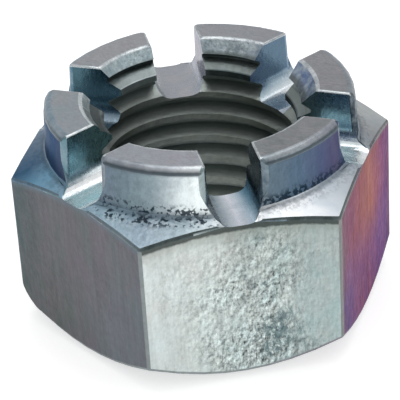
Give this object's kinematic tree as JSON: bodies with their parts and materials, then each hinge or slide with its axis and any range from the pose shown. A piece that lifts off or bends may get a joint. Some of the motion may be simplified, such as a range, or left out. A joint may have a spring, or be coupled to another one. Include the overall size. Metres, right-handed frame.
{
  "type": "castle nut",
  "caption": "Hexagonal castle nut with a crown of prongs, round-bottomed slots between them for a split pin, and a threaded bore.",
  "frame": {"origin": "centre of the flat bearing face at the bottom of the nut", "axes": "+Z along the bore towards the crown, +X through a corner of the hexagon, -Y out of a flat"},
  "size_m": [0.0532, 0.046, 0.0315],
  "materials": {
    "plated_steel": "zinc plated, clear passivated"
  },
  "bodies": {
    "root": {"castle_nut": "plated_steel"}
  },
  "joints": []
}
